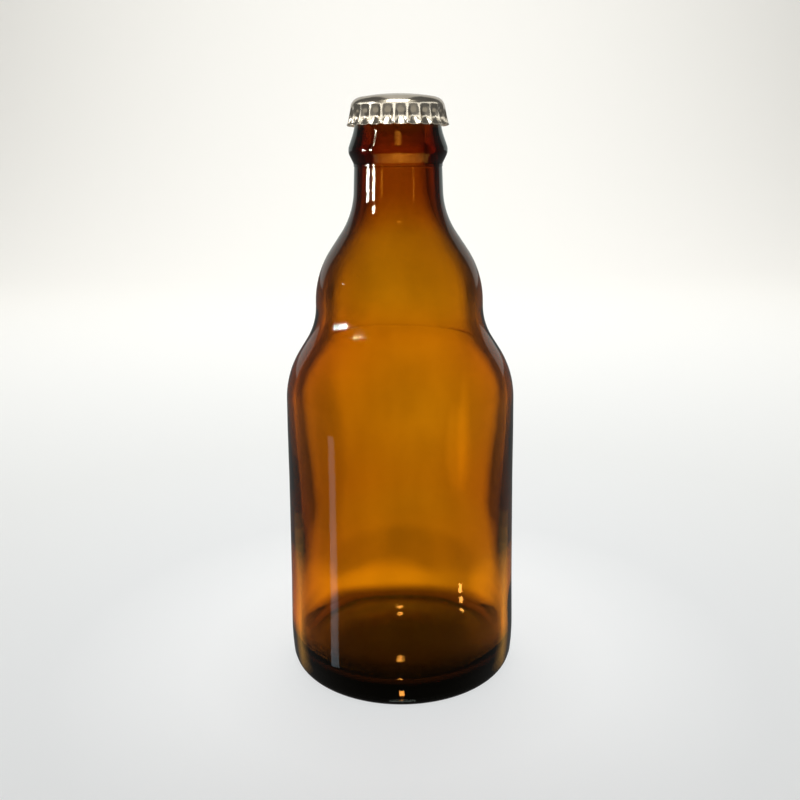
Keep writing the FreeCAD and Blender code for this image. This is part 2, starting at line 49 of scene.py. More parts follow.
# --------------------------------------------------------------- profiles
def rounded(points, step=0.9, turn=3.0):
    """A line through (r, z, round) points, each corner rounded to its radius
    and every stretch divided: step is in millimetres, turn in degrees."""
    out = [(points[0][0], points[0][1])]

    def run(p, q):
        n = max(1, int(math.ceil(math.dist(p, q) / step)))
        for i in range(1, n + 1):
            out.append((p[0] + (q[0] - p[0]) * i / n, p[1] + (q[1] - p[1]) * i / n))

    for k in range(1, len(points) - 1):
        a, b, c = points[k - 1], points[k], points[k + 1]
        radius = b[2]
        u = Vector((a[0] - b[0], a[1] - b[1])).normalized()
        v = Vector((c[0] - b[0], c[1] - b[1])).normalized()
        bend = math.pi - u.angle(v)
        if radius <= 0 or bend < 1e-5:
            run(out[-1], (b[0], b[1]))
            continue
        cut = radius * math.tan(bend / 2)
        p = (b[0] + u.x * cut, b[1] + u.y * cut)
        q = (b[0] + v.x * cut, b[1] + v.y * cut)
        if math.dist(out[-1], p) > 1e-6:
            run(out[-1], p)
        mid = (u + v).normalized()
        cx = b[0] + mid.x * radius / math.cos(bend / 2)
        cz = b[1] + mid.y * radius / math.cos(bend / 2)
        n = max(2, int(math.ceil(math.degrees(bend) / turn)), int(math.ceil(radius * bend / 1.1)))
        a0 = math.atan2(p[1] - cz, p[0] - cx)
        a1 = math.atan2(q[1] - cz, q[0] - cx)
        d = (a1 - a0 + math.pi) % (2 * math.pi) - math.pi
        for i in range(1, n + 1):
            t = a0 + d * i / n
            out.append((cx + radius * math.cos(t), cz + radius * math.sin(t)))
    run(out[-1], (points[-1][0], points[-1][1]))
    return out


def cross(p, a, q, b):
    """Where the line through p at angle a meets the line through q at b;
    angles are from upright, leaning towards the axis."""
    ux, uz = -math.sin(math.radians(a)), math.cos(math.radians(a))
    vx, vz = -math.sin(math.radians(b)), math.cos(math.radians(b))
    det = ux * -vz + vx * uz
    t = ((q[0] - p[0]) * -vz + vx * (q[1] - p[1])) / det
    return p[0] + ux * t, p[1] + uz * t


def outside():
    s1, s2 = 32.06, 33.33
    v1 = cross((35.03, 83.2), 0, (30.899, 97.643), s1)
    v2 = cross((30.899, 97.643), s1, (25.57, 110.0), 0)
    v3 = cross((25.57, 112.9), 0, (20.789, 128.881), s2)
    v4 = cross((20.789, 128.881), s2, (13.28, 153.6), 1.9)
    v5 = cross((13.521, 154.85), -25.8, (13.40, 154.0), 0)
    v6 = cross((14.521, 156.90), -25.8, (14.92, 158.6), 0)
    v7 = cross((14.92, 158.6), 0, (14.699, 159.95), 18.4)
    v8 = cross((14.699, 159.85), 18.4, (12.95, 167.0), 0)
    return [
        (0.0, 2.6, 0), (10.0, 2.28, 90), (20.0, 1.34, 90), (29.45, 0.0, 1.2),
        (34.35, 0.0, 2.68), (34.35, 2.62, 0.10), (34.52, 2.74, 0.12),
        (34.62, 3.6, 6), (34.86, 6.1, 20), (35.03, 9.6, 20), (35.03, 12.4, 120),
        (34.89, 26.0, 300), (34.89, 58.0, 300), (35.03, 73.0, 300),
        (v1[0], v1[1], 27.2), (v2[0], v2[1], 19.4), (v3[0], v3[1], 29.1),
        (v4[0], v4[1], 24.1), (13.285, 153.45, 0.25), (13.18, 153.62, 0.10), (13.42, 153.78, 0.12),
        (v5[0], v5[1], 1.3), (v6[0], v6[1], 3.7), (v7[0], v7[1], 3.9), (v8[0], v8[1], 14.0),
        (12.95, 168.2, 0.5), (13.3, 168.8, 0.5), (13.3, 174.03, 2.88),
        (10.0, 174.03, 0),
    ]


def inside():
    t1, t2 = 31.0, 35.0
    w1 = cross((32.35, 82.6), 0, (28.9, 95.2), t1)
    w2 = cross((28.9, 95.2), t1, (23.0, 109.0), 0)
    w3 = cross((23.0, 112.6), 0, (18.3, 127.9), t2)
    w4 = cross((18.3, 127.9), t2, (8.3, 156.0), 2.7)
    return [
        (8.2, 174.03, 0.78), (8.2, 160.5, 6), (8.3, 156.0, 8),
        (w4[0], w4[1], 27.5), (w3[0], w3[1], 26.8), (w2[0], w2[1], 21.8), (w1[0], w1[1], 25.2),
        (32.35, 4.6, 6.1), (26.0, 4.75, 60), (14.0, 5.85, 60), (0.0, 6.4, 0),
    ]


def finer(line, z0, z1, step):
    """The same line with short steps between two heights."""
    out = [line[0]]
    for p, q in zip(line[:-1], line[1:]):
        n = 1
        if z0 <= (p[1] + q[1]) / 2 <= z1:
            n = max(1, int(math.ceil(math.dist(p, q) / step)))
        for i in range(1, n + 1):
            out.append((p[0] + (q[0] - p[0]) * i / n, p[1] + (q[1] - p[1]) * i / n))
    return out


def fold(a, z):
    """A fine ridge across the back of the inner wall, where the hot glass
    settled as the shoulder was blown."""
    d = (z - 100.3 - 0.25 * math.cos(2 * a + 1.0)) / 0.30
    if abs(d) > 3.0:
        return 0.0
    back = max(0.0, min(1.0, (math.sin(a) - 0.15) / 0.35))
    return 0.16 * back * math.exp(-d * d)


def belt(z):
    """Extra wall of the thick belt inside the body."""
    if z <= 33.0 or z >= 77.0:
        return 0.0
    if z < 46.5:
        t = (z - 33.0) / 13.5
    elif z <= 52.0:
        return 0.55
    else:
        t = (77.0 - z) / 25.0
    return 0.55 * t * t * (3 - 2 * t)


def wobble(a, z):
    """The inner wall isn't quite round: it was blown, not turned."""
    k = max(0.0, min(1.0, (z - 8.0) / 16.0)) * max(0.0, min(1.0, (158.0 - z) / 30.0))
    p = Vector((math.cos(a) * 1.1, math.sin(a) * 1.1, z / 42.0))
    q = Vector((math.cos(a) * 2.3 + 7.0, math.sin(a) * 2.3, z / 17.0))
    side = 0.16 * math.cos(a - math.radians(188))          # thicker on the left
    return k * (side + 0.22 * noise.noise(p) + 0.05 * noise.noise(q))


def spin(name, rows, count, radius_of=None):
    """A closed skin from (r, z, tag) rows; a row on the axis is one point."""
    bm = bmesh.new()
    rings = []
    for r, z, tag in rows:
        if r < 1e-6:
            rings.append([bm.verts.new((0, 0, z * MM))])
            continue
        ring = []
        for i in range(count):
            a = 2 * math.pi * i / count
            rr, zz = radius_of(a, r, z, tag) if radius_of else (r, z)
            ring.append(bm.verts.new((rr * MM * math.cos(a), rr * MM * math.sin(a), zz * MM)))
        rings.append(ring)
    for lo, hi in zip(rings[:-1], rings[1:]):
        for i in range(count):
            j = (i + 1) % count
            if len(lo) == 1:
                f = (lo[0], hi[j], hi[i])
            elif len(hi) == 1:
                f = (lo[i], lo[j], hi[0])
            else:
                f = (lo[i], lo[j], hi[j], hi[i])
            bm.faces.new(f).smooth = True
    bm.normal_update()
    me = bpy.data.meshes.new(name)
    bm.to_mesh(me)
    bm.free()
    ob = bpy.data.objects.new(name, me)
    bpy.context.scene.collection.objects.link(ob)
    return ob


# ----------------------------------------------------------------- bottle
out_rows = rounded(outside(), step=1.5, turn=3.0)
in_rows = finer(rounded(inside(), step=2.0), 97.5, 102.5, 0.16)
rows = [(r, z, "out") for r, z in out_rows] + [(r, z, "in") for r, z in in_rows[1:] if True]
# the lip's flat joins the two runs
rows = [(r, z, t) for r, z, t in rows]


def glass_radius(a, r, z, tag):
    if tag == "in" and z < 158.0 and r > 7.0:
        wall = belt(z) if r > 28 else 0.0
        return r - wall - wobble(a, z) * min(1.0, (r - 7.0) / 5.0) * (1 if z > 8 else 0) - fold(a, z), z
    return r, z


bottle = spin("bottle_glass", rows, 160, glass_radius)
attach(bottle, "root")
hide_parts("bottle")


# -------------------------------------------------------------------- cap
FLUTES = 24
TURN = math.radians(-94.0)      # direction of one ridge


def ridge(a):
    """1 on a ridge, 0 in the middle of a flute."""
    u = ((a - TURN) / (2 * math.pi) * FLUTES) % 1.0
    u = 1.0 - abs(u - 0.0) * 2 if u < 0.5 else 1.0 - abs(1.0 - u) * 2
    return 0.5 - 0.5 * math.cos(math.pi * u ** 1.7)


def ramp(x, table):
    if x <= table[0][0]:
        return table[0][1]
    for (a, p), (b, q) in zip(table[:-1], table[1:]):
        if x <= b:
            t = (x - a) / (b - a)
            return p + (q - p) * t
    return table[-1][1]


def cap_rows():
    """Rows of the cap's outside: a run down the ridge and a run down the
    flute, matched row for row."""
    top = []
    dome, cz = 62.5, 175.2 - 62.5
    slope = math.atan2(15.12 - 14.08, 171.8 - 166.3)
    px = 14.08 - 3.2 * math.cos(slope)
    pz = cz + math.sqrt((dome - 3.2) ** 2 - px ** 2)
    join = math.atan2(pz - cz, px)
    n = 12
    for i in range(n + 1):
        a = math.pi / 2 + (join - math.pi / 2) * i / n
        top.append((dome * math.cos(a), cz + dome * math.sin(a)))
    n = 14
    for i in range(1, n + 1):
        a = join + (slope - join) * i / n
        top.append((px + 3.2 * math.cos(a), pz + 3.2 * math.sin(a)))
    x0, z0 = top[-1]
    rows = [(r, z, r, z) for r, z in top]
    # below here ridge and flute part
    ridge_line = [(0.0, x0, z0), (0.9, 15.10, 166.55), (0.96, 15.26, 166.25), (1.0, 15.42, 166.12)]
    valley_line = [(0.0, x0, z0), (0.10, 14.06, 171.1), (0.25, 13.97, 170.3), (0.38, 13.80, 169.6),
                   (0.47, 13.70, 169.1), (0.56, 13.69, 168.55), (0.66, 13.78, 167.9), (0.78, 14.12, 167.1),
                   (0.88, 14.52, 166.4), (0.95, 14.80, 165.95), (1.0, 14.92, 165.74)]

    def at(line, t):
        return (ramp(t, [(p[0], p[1]) for p in line]), ramp(t, [(p[0], p[2]) for p in line]))

    n = 34
    for i in range(1, n + 1):
        t = i / n
        a, b = at(ridge_line, t), at(valley_line, t)
        rows.append((a[0], a[1], b[0], b[1]))
    # the flute's run is smoothed so that its knee is a bend, not a corner
    for _ in range(2):
        new = list(rows)
        for k in range(28, len(rows) - 1):
            p, c, q = rows[k - 1], rows[k], rows[k + 1]
            new[k] = tuple((p[j] + 2 * c[j] + q[j]) / 4 for j in range(4))
        rows = new
    return rows


def make_cap():
    outer = cap_rows()
    sheet = 0.25
    inner = []
    for k, row in enumerate(outer):
        res = []
        for j in (0, 2):
            p = outer[max(k - 1, 0)]
            q = outer[min(k + 1, len(outer) - 1)]
            tx, tz = q[j] - p[j], q[j + 1] - p[j + 1]
            l = math.hypot(tx, tz)
            nx, nz = -tz / l, tx / l          # outward
            if nx < 0 and j == 0 and k == 0:
                nx = 0.0
            res += [max(0.0, row[j] - nx * sheet), row[j + 1] - nz * sheet]
        inner.append(tuple(res))
    inner[0] = (0.0, outer[0][1] - sheet, 0.0, outer[0][3] - sheet)
    # a rounded edge between outside and inside
    last, first = outer[-1], inner[-1]
    edge = []
    for t in (0.25, 0.5, 0.75):
        bulge = 0.09 * math.sin(math.pi * t)
        e = []
        for j in (0, 2):
            e += [last[j] + (first[j] - last[j]) * t, last[j + 1] + (first[j + 1] - last[j + 1]) * t - bulge]
        edge.append(tuple(e))
    low = CAP_BOX[0].z / MM + 0.0005
    run = outer + edge + inner[::-1][0:-1] + [inner[0]]
    count = FLUTES * 16
    bm = bmesh.new()
    rings = []
    for rr, rz, vr, vz in run:
        if rr < 1e-6:
            rings.append([bm.verts.new((0, 0, rz * MM))])
            continue
        ring = []
        for i in range(count):
            a = 2 * math.pi * i / count
            w = ridge(a)
            r = vr + (rr - vr) * w
            z = max(low, vz + (rz - vz) * w)
            ring.append(bm.verts.new((r * MM * math.cos(a), r * MM * math.sin(a), z * MM)))
        rings.append(ring)
    for lo, hi in zip(rings[:-1], rings[1:]):
        for i in range(count):
            j = (i + 1) % count
            if len(lo) == 1:
                f = (lo[0], hi[i], hi[j])
            elif len(hi) == 1:
                f = (lo[i], hi[0], lo[j])
            else:
                f = (lo[i], hi[i], hi[j], lo[j])
            bm.faces.new(f).smooth = True
    bm.normal_update()
    me = bpy.data.meshes.new("cap_metal")
    bm.to_mesh(me)
    bm.free()
    ob = bpy.data.objects.new("cap_metal", me)
    bpy.context.scene.collection.objects.link(ob)
    return ob


cap = make_cap()
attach(cap, "root")
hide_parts("crown_cap")


# -------------------------------------------------------------- materials
def material(name):
    m = bpy.data.materials.new(name)
    m.use_nodes = True
    n = m.node_tree.nodes
    n.clear()
    out = n.new("ShaderNodeOutputMaterial")
    return m, n, m.node_tree.links, out


m, n, l, out = material("amber_glass")
p = n.new("ShaderNodeBsdfPrincipled")
p.inputs["Base Color"].default_value = (1, 1, 1, 1)
p.inputs["Roughness"].default_value = 0.006
p.inputs["IOR"].default_value = 1.52
p.inputs["Transmission Weight"].default_value = 1.0
vol = n.new("ShaderNodeVolumeAbsorption")
vol.inputs["Color"].default_value = (0.9606, 0.7985, 0.0, 1)
vol.inputs["Density"].default_value = 1240.0
l.new(p.outputs[0], out.inputs["Surface"])
l.new(vol.outputs[0], out.inputs["Volume"])
p.inputs["Specular Tint"].default_value = (0.24, 0.20, 0.12, 1)
co = n.new("ShaderNodeTexCoord")
nz = n.new("ShaderNodeTexNoise")
nz.inputs["Scale"].default_value = 90.0
nz.inputs["Detail"].default_value = 2.0
bump = n.new("ShaderNodeBump")
bump.inputs["Strength"].default_value = 0.18
bump.inputs["Distance"].default_value = 0.00006
l.new(co.outputs["Object"], nz.inputs["Vector"])
l.new(nz.outputs["Fac"], bump.inputs["Height"])
l.new(bump.outputs[0], p.inputs["Normal"])
# painted shade along the outlines: where the glass is seen edge-on its colour is darkened to near black,
# standing in for the dark room there; how much, and how near the edge it starts, changes with the height
lw = n.new("ShaderNodeLayerWeight")
lw.inputs["Blend"].default_value = 0.5
split = n.new("ShaderNodeSeparateXYZ")
l.new(co.outputs["Object"], split.inputs[0])
tall = n.new("ShaderNodeMath")
tall.operation = "DIVIDE"
tall.inputs[1].default_value = 0.18
l.new(split.outputs["Z"], tall.inputs[0])


def by_height(table):
    """Height in millimetres to value, as a ramp."""
    r = n.new("ShaderNodeValToRGB")
    e = r.color_ramp.elements
    for k, (z, v) in ((1, table[-1]), (0, table[0])):
        e[k].position = z / 180.0
        e[k].color = (v, v, v, 1)
    for z, v in table[1:-1]:
        new = e.new(z / 180.0)
        new.color = (v, v, v, 1)
    l.new(tall.outputs[0], r.inputs["Fac"])
    return r.outputs["Color"]


edge = n.new("ShaderNodeMapRange")
edge.interpolation_type = "SMOOTHSTEP"
l.new(lw.outputs["Facing"], edge.inputs["Value"])
l.new(by_height([(20, 0.48), (44, 0.42), (66, 0.46), (85, 0.50), (100, 0.40), (118, 0.34), (130, 0.30), (142, 0.24), (153, 0.24), (157, 0.16), (162, 0.20)]), edge.inputs["From Min"])
l.new(by_height([(20, 0.68), (44, 0.57), (66, 0.63), (85, 0.72), (100, 0.66), (118, 0.62), (130, 0.56), (142, 0.46), (153, 0.44), (157, 0.36), (162, 0.42)]), edge.inputs["From Max"])
mul = n.new("ShaderNodeMath")
mul.operation = "MULTIPLY"
l.new(edge.outputs["Result"], mul.inputs[0])
l.new(by_height([(16, 0.0), (30, 0.60), (40, 0.997), (66, 0.997), (88, 0.96), (104, 0.93), (122, 0.97), (146, 0.997)]), mul.inputs[1])
flat = n.new("ShaderNodeVectorMath")
flat.operation = "MULTIPLY"
flat.inputs[1].default_value = (1.0, 1.0, 0.0)
l.new(co.outputs["Object"], flat.inputs[0])
away_from_axis = n.new("ShaderNodeVectorMath")
away_from_axis.operation = "LENGTH"
l.new(flat.outputs[0], away_from_axis.inputs[0])
skin = n.new("ShaderNodeMath")
skin.operation = "MULTIPLY"
skin.inputs[1].default_value = 0.05
l.new(by_height([(118, 0.48), (128, 0.396), (134, 0.316), (140, 0.244), (148, 0.222), (176, 0.21)]), skin.inputs[0])
outer = n.new("ShaderNodeMath")
outer.operation = "GREATER_THAN"
l.new(away_from_axis.outputs["Value"], outer.inputs[0])
l.new(skin.outputs[0], outer.inputs[1])
keep = n.new("ShaderNodeMath")
keep.operation = "MAXIMUM"
l.new(outer.outputs[0], keep.inputs[0])
l.new(by_height([(116, 1.0), (134, 0.12), (176, 0.0)]), keep.inputs[1])
mul2 = n.new("ShaderNodeMath")
mul2.operation = "MULTIPLY"
l.new(mul.outputs[0], mul2.inputs[0])
l.new(keep.outputs[0], mul2.inputs[1])
# painted shade: the near-black colour the glass is darkened to along its outlines
painted_edge_shade = n.new("ShaderNodeMix")
painted_edge_shade.data_type = "RGBA"
painted_edge_shade.inputs["A"].default_value = (1, 1, 1, 1)
painted_edge_shade.inputs["B"].default_value = (0.0008, 0.0014, 0.0018, 1)
l.new(mul2.outputs[0], painted_edge_shade.inputs["Factor"])


def painted_light_patch(x, z, sx, sz, strength):
    """A soft painted patch on the back wall, in millimetres: light where strength is above 0, shade where it is
    below.
    """
    dx = n.new("ShaderNodeMath"); dx.operation = "MULTIPLY_ADD"
    dx.inputs[1].default_value = 1000.0 / sx; dx.inputs[2].default_value = -x / sx
    dz = n.new("ShaderNodeMath"); dz.operation = "MULTIPLY_ADD"
    dz.inputs[1].default_value = 1000.0 / sz; dz.inputs[2].default_value = -z / sz
    l.new(split.outputs["X"], dx.inputs[0])
    l.new(split.outputs["Z"], dz.inputs[0])
    xx = n.new("ShaderNodeMath"); xx.operation = "MULTIPLY"
    l.new(dx.outputs[0], xx.inputs[0]); l.new(dx.outputs[0], xx.inputs[1])
    zz = n.new("ShaderNodeMath"); zz.operation = "MULTIPLY_ADD"
    l.new(dz.outputs[0], zz.inputs[0]); l.new(dz.outputs[0], zz.inputs[1]); l.new(xx.outputs[0], zz.inputs[2])
    e = n.new("ShaderNodeMapRange"); e.interpolation_type = "SMOOTHERSTEP"
    e.inputs["From Min"].default_value = 0.0; e.inputs["From Max"].default_value = 1.0
    e.inputs["To Min"].default_value = strength; e.inputs["To Max"].default_value = 0.0
    l.new(zz.outputs[0], e.inputs["Value"])
    return e.outputs["Result"]


# on the back half the colour is dimmed, a little unevenly in a noise, with painted patches of light and shade added
# at given places; the front half stays clear
uneven = n.new("ShaderNodeTexNoise")
uneven.inputs["Scale"].default_value = 1.0
uneven.inputs["Detail"].default_value = 1.5
stretch = n.new("ShaderNodeMapping")
stretch.inputs["Scale"].default_value = (75.0, 75.0, 26.0)
l.new(co.outputs["Object"], stretch.inputs["Vector"])
l.new(stretch.outputs["Vector"], uneven.inputs["Vector"])
level = n.new("ShaderNodeMapRange")
level.inputs["From Min"].default_value = 0.3
level.inputs["From Max"].default_value = 0.7
level.inputs["To Min"].default_value = 0.55
level.inputs["To Max"].default_value = 0.68
l.new(uneven.outputs["Fac"], level.inputs["Value"])
total = level.outputs["Result"]
# painted light and shade: the patches, each as x, z, width, height, strength
for args in ((20.5, 57.0, 5.5, 21.0, 0.16), (22.3, 62.0, 2.4, 26.0, 0.12), (12.0, 70.0, 9.0, 15.0, 0.05),
             (-8.0, 10.5, 26.0, 8.0, 0.30), (0.0, 20.5, 40.0, 8.5, -0.13), (0.0, 75.0, 18.0, 11.0, -0.04),
             (3.0, 92.0, 15.0, 8.0, 0.04), (0.0, 115.0, 16.0, 14.0, -0.05), (-27.0, 56.0, 9.0, 42.0, -0.20),
             (-17.0, 116.0, 10.0, 20.0, -0.10), (-31.0, 13.0, 9.0, 15.0, 0.38), (31.0, 13.0, 9.0, 15.0, 0.34)):
    part = n.new("ShaderNodeMath")
    part.operation = "ADD"
    l.new(painted_light_patch(*args), part.inputs[0])
    l.new(total, part.inputs[1])
    total = part.outputs[0]
behind = n.new("ShaderNodeMapRange")     # 1 on the front half, fading to 0 behind
behind.interpolation_type = "SMOOTHSTEP"
behind.inputs["From Min"].default_value = 0.016
behind.inputs["From Max"].default_value = -0.012
l.new(split.outputs["Y"], behind.inputs["Value"])
either = n.new("ShaderNodeMath")
either.operation = "MAXIMUM"
l.new(total, either.inputs[0])
l.new(behind.outputs[0], either.inputs[1])
cap_level = n.new("ShaderNodeMath")
cap_level.operation = "MINIMUM"
cap_level.inputs[1].default_value = 1.0
l.new(either.outputs[0], cap_level.inputs[0])
tone = n.new("ShaderNodeVectorMath")
tone.operation = "SCALE"
l.new(painted_edge_shade.outputs["Result"], tone.inputs[0])
l.new(cap_level.outputs[0], tone.inputs["Scale"])


def times(vec, factor):
    """vec times factor, either a socket or three numbers."""
    v = n.new("ShaderNodeVectorMath")
    v.operation = "MULTIPLY"
    l.new(vec, v.inputs[0])
    if isinstance(factor, tuple):
        v.inputs[1].default_value = factor
    else:
        l.new(factor, v.inputs[1])
    return v.outputs[0]


def mixed(fac, low_color, high_color):
    mx = n.new("ShaderNodeMix")
    mx.data_type = "RGBA"
    mx.clamp_result = False
    mx.inputs["A"].default_value = low_color
    mx.inputs["B"].default_value = high_color
    l.new(fac, mx.inputs["Factor"])
    return mx.outputs["Result"]


# painted shade: the front face grows darker up the neck and is darker again at the mouth; the band just under the
# bead's crest is left lighter, a painted highlight
front = n.new("ShaderNodeMapRange")
front.interpolation_type = "SMOOTHSTEP"
front.inputs["From Min"].default_value = 0.007
front.inputs["From Max"].default_value = -0.007
l.new(split.outputs["Y"], front.inputs["Value"])
mouth = n.new("ShaderNodeMath")
mouth.operation = "MULTIPLY"
l.new(by_height([(106, 0.0), (118, 0.22), (130, 0.46), (142, 0.74), (154.4, 0.86), (156.0, 0.5), (157.4, 0.5), (159.2, 1.0), (176, 1.0)]), mouth.inputs[0])
l.new(front.outputs[0], mouth.inputs[1])
c = times(tone.outputs[0], (1.0, 0.97, 0.80))
c = times(c, mixed(mouth.outputs[0], (1, 1, 1, 1), (0.40, 0.48, 0.75, 1)))
# painted shade on the thick heel: its front is darkened to nearly black with a cool tint, while behind it stays brown
nearer = n.new("ShaderNodeMapRange")
nearer.inputs["From Min"].default_value = 0.016
nearer.inputs["From Max"].default_value = 0.0
l.new(split.outputs["Y"], nearer.inputs["Value"])
painted_heel_shade = n.new("ShaderNodeMath")
painted_heel_shade.operation = "MULTIPLY"
l.new(by_height([(0, 1.0), (9.0, 0.95), (12.0, 0.6), (15.0, 0.0), (30, 0.0)]), painted_heel_shade.inputs[0])
l.new(nearer.outputs["Result"], painted_heel_shade.inputs[1])
c = times(c, mixed(painted_heel_shade.outputs[0], (1, 1, 1, 1), (0.05, 0.09, 0.12, 1)))
# painted shade: the lowest 9 mm of the glass is darker and cooler all round
c = times(c, mixed(by_height([(0, 1.0), (4.5, 0.9), (9.0, 0.0), (30, 0.0)]), (1, 1, 1, 1), (0.16, 0.26, 0.5, 1)))
# painted shade: above the bead, from 158.5 to 160.5 mm up, the glass turns darker and less warm
c = times(c, mixed(by_height([(0, 0.0), (158.5, 0.0), (160.5, 1.0), (176, 1.0)]), (1, 1, 1, 1), (0.64, 0.64, 1.0, 1)))
l.new(c, p.inputs["Base Color"])
bottle.data.materials.append(m)

m, n, l, out = material("cap_steel")
p = n.new("ShaderNodeBsdfPrincipled")
p.inputs["Metallic"].default_value = 1.0
co = n.new("ShaderNodeTexCoord")
fine = n.new("ShaderNodeTexNoise")
fine.inputs["Scale"].default_value = 2600.0
fine.inputs["Detail"].default_value = 3.0
broad = n.new("ShaderNodeTexNoise")
broad.inputs["Scale"].default_value = 260.0
broad.inputs["Detail"].default_value = 4.0
l.new(co.outputs["Object"], fine.inputs["Vector"])
l.new(co.outputs["Object"], broad.inputs["Vector"])
tint = n.new("ShaderNodeValToRGB")
tint.color_ramp.elements[0].position = 0.3
tint.color_ramp.elements[0].color = (0.59, 0.535, 0.445, 1)
tint.color_ramp.elements[1].position = 0.7
tint.color_ramp.elements[1].color = (0.70, 0.65, 0.56, 1)
l.new(broad.outputs["Fac"], tint.inputs["Fac"])
l.new(tint.outputs["Color"], p.inputs["Base Color"])
rough = n.new("ShaderNodeMapRange")
rough.inputs["From Min"].default_value = 0.3
rough.inputs["From Max"].default_value = 0.7
rough.inputs["To Min"].default_value = 0.15
rough.inputs["To Max"].default_value = 0.22
l.new(fine.outputs["Fac"], rough.inputs["Value"])
l.new(rough.outputs["Result"], p.inputs["Roughness"])
bump = n.new("ShaderNodeBump")
bump.inputs["Strength"].default_value = 0.3
bump.inputs["Distance"].default_value = 0.00002
l.new(fine.outputs["Fac"], bump.inputs["Height"])
l.new(bump.outputs[0], p.inputs["Normal"])
l.new(p.outputs[0], out.inputs["Surface"])
cap.data.materials.append(m)


# ------------------------------------------------------------------ stage
def half_width(y):
    return max(0.9, 0.30 + 0.6 * (y + 0.275) + 1.5 * max(0.0, y - 0.2))


def stage_sheet():
    """A floor that curves up into a wall far behind the bottle, wider at the
    back, with the dim room beyond its edges."""
    line = [(-0.9, 0.0), (-0.5, 0.0), (-0.25, 0.0), (-0.05, 0.0), (0.0, 0.0), (0.1, 0.0), (0.25, 0.0), (0.5, 0.0), (0.9, 0.0)]
    for i in range(1, 17):
        a = math.pi / 2 * i / 16
        line.append((0.9 + 0.7 * math.sin(a), 0.7 - 0.7 * math.cos(a)))
    line.append((1.6, 2.4))
    bm = bmesh.new()
    cols = []
    for k in (-1.0, -0.5, 0.0, 0.5, 1.0):
        cols.append([bm.verts.new((k * half_width(y), y, z - 0.00002)) for y, z in line])
    for p, q in zip(cols[:-1], cols[1:]):
        for i in range(len(line) - 1):
            bm.faces.new((p[i], q[i], q[i + 1], p[i + 1])).smooth = True
    me = bpy.data.meshes.new("floor_sweep")
    bm.to_mesh(me)
    bm.free()
    ob = bpy.data.objects.new("floor_sweep", me)
    bpy.context.scene.collection.objects.link(ob)
    return ob


floor = stage_sheet()
m, n, l, out = material("pale_floor")
p = n.new("ShaderNodeBsdfPrincipled")
p.inputs["Roughness"].default_value = 0.7
p.inputs["Specular IOR Level"].default_value = 0.2
co = n.new("ShaderNodeTexCoord")
dist = n.new("ShaderNodeVectorMath")
dist.operation = "LENGTH"
l.new(co.outputs["Object"], dist.inputs[0])
far = n.new("ShaderNodeMath")
far.operation = "MULTIPLY"
far.inputs[1].default_value = 1.1
l.new(dist.outputs["Value"], far.inputs[0])
# painted light: the floor is paler close round the bottle, out to about 6 cm, and a little greyer further off
mix = n.new("ShaderNodeValToRGB")
e = mix.color_ramp.elements
e[1].position = 1.0
e[1].color = (0.86, 0.85, 0.82, 1)
e[0].position = 0.07
e[0].color = (0.96, 0.975, 0.985, 1)
for at, col in ((0.12, (0.855, 0.87, 0.88)), (0.24, (0.835, 0.845, 0.84))):
    new = e.new(at)
    new.color = (*col, 1)
l.new(far.outputs[0], mix.inputs["Fac"])
# painted shadow: the floor is darkened under the base, fading out from 22 to 33.5 mm from the axis
painted_base_shadow = n.new("ShaderNodeMapRange")
painted_base_shadow.interpolation_type = "SMOOTHSTEP"
painted_base_shadow.inputs["From Min"].default_value = 0.022
painted_base_shadow.inputs["From Max"].default_value = 0.0335
painted_base_shadow.inputs["To Min"].default_value = 0.01
painted_base_shadow.inputs["To Max"].default_value = 1.0
l.new(dist.outputs["Value"], painted_base_shadow.inputs["Value"])
floor_with_painted_shadow = n.new("ShaderNodeVectorMath")
floor_with_painted_shadow.operation = "SCALE"
l.new(mix.outputs["Color"], floor_with_painted_shadow.inputs[0])
l.new(painted_base_shadow.outputs["Result"], floor_with_painted_shadow.inputs["Scale"])
l.new(floor_with_painted_shadow.outputs[0], p.inputs["Base Color"])
l.new(p.outputs[0], out.inputs["Surface"])
floor.data.materials.append(m)
floor.visible_glossy = False             # what the glass and steel mirror is lit apart, below


def area(name, loc, aim, sx, sy, power, color=(1, 1, 1)):
    li = bpy.data.lights.new(name, "AREA")
    li.shape = "RECTANGLE"
    li.size, li.size_y = sx, sy
    li.energy = power
    li.color = color
    ob = bpy.data.objects.new(name, li)
    ob.location = loc
    ob.rotation_euler = (Vector(aim) - Vector(loc)).to_track_quat("-Z", "Y").to_euler()
    bpy.context.scene.collection.objects.link(ob)
    return ob


# the floor's two lights light only the floor and only the floor blocks them, so the bottle throws no shadow; the
# shade under its base is painted on the floor
bare = bpy.data.collections.new("casts_shadow")
bare.objects.link(floor)
top = area("overhead", (0.0, 0.45, 1.2), (0.0, 0.40, 0.0), 0.9, 0.6, 8.7, (0.985, 0.992, 1.0))
top.light_linking.blocker_collection = bare
top.light_linking.receiver_collection = bare
wash = area("wall_wash", (0.0, 0.55, 1.5), (0.0, 1.55, 0.35), 1.8, 0.4, 17.6, (1.0, 0.995, 0.965))
wash.light_linking.blocker_collection = bare
wash.light_linking.receiver_collection = bare

# the window to the left and above, as a few small gridded panes that light
# only the bottle and its cap
lit = bpy.data.collections.new("lit_bottle")
lit.objects.link(bottle)
lit_cap = bpy.data.collections.new("lit_cap")
lit_cap.objects.link(cap)


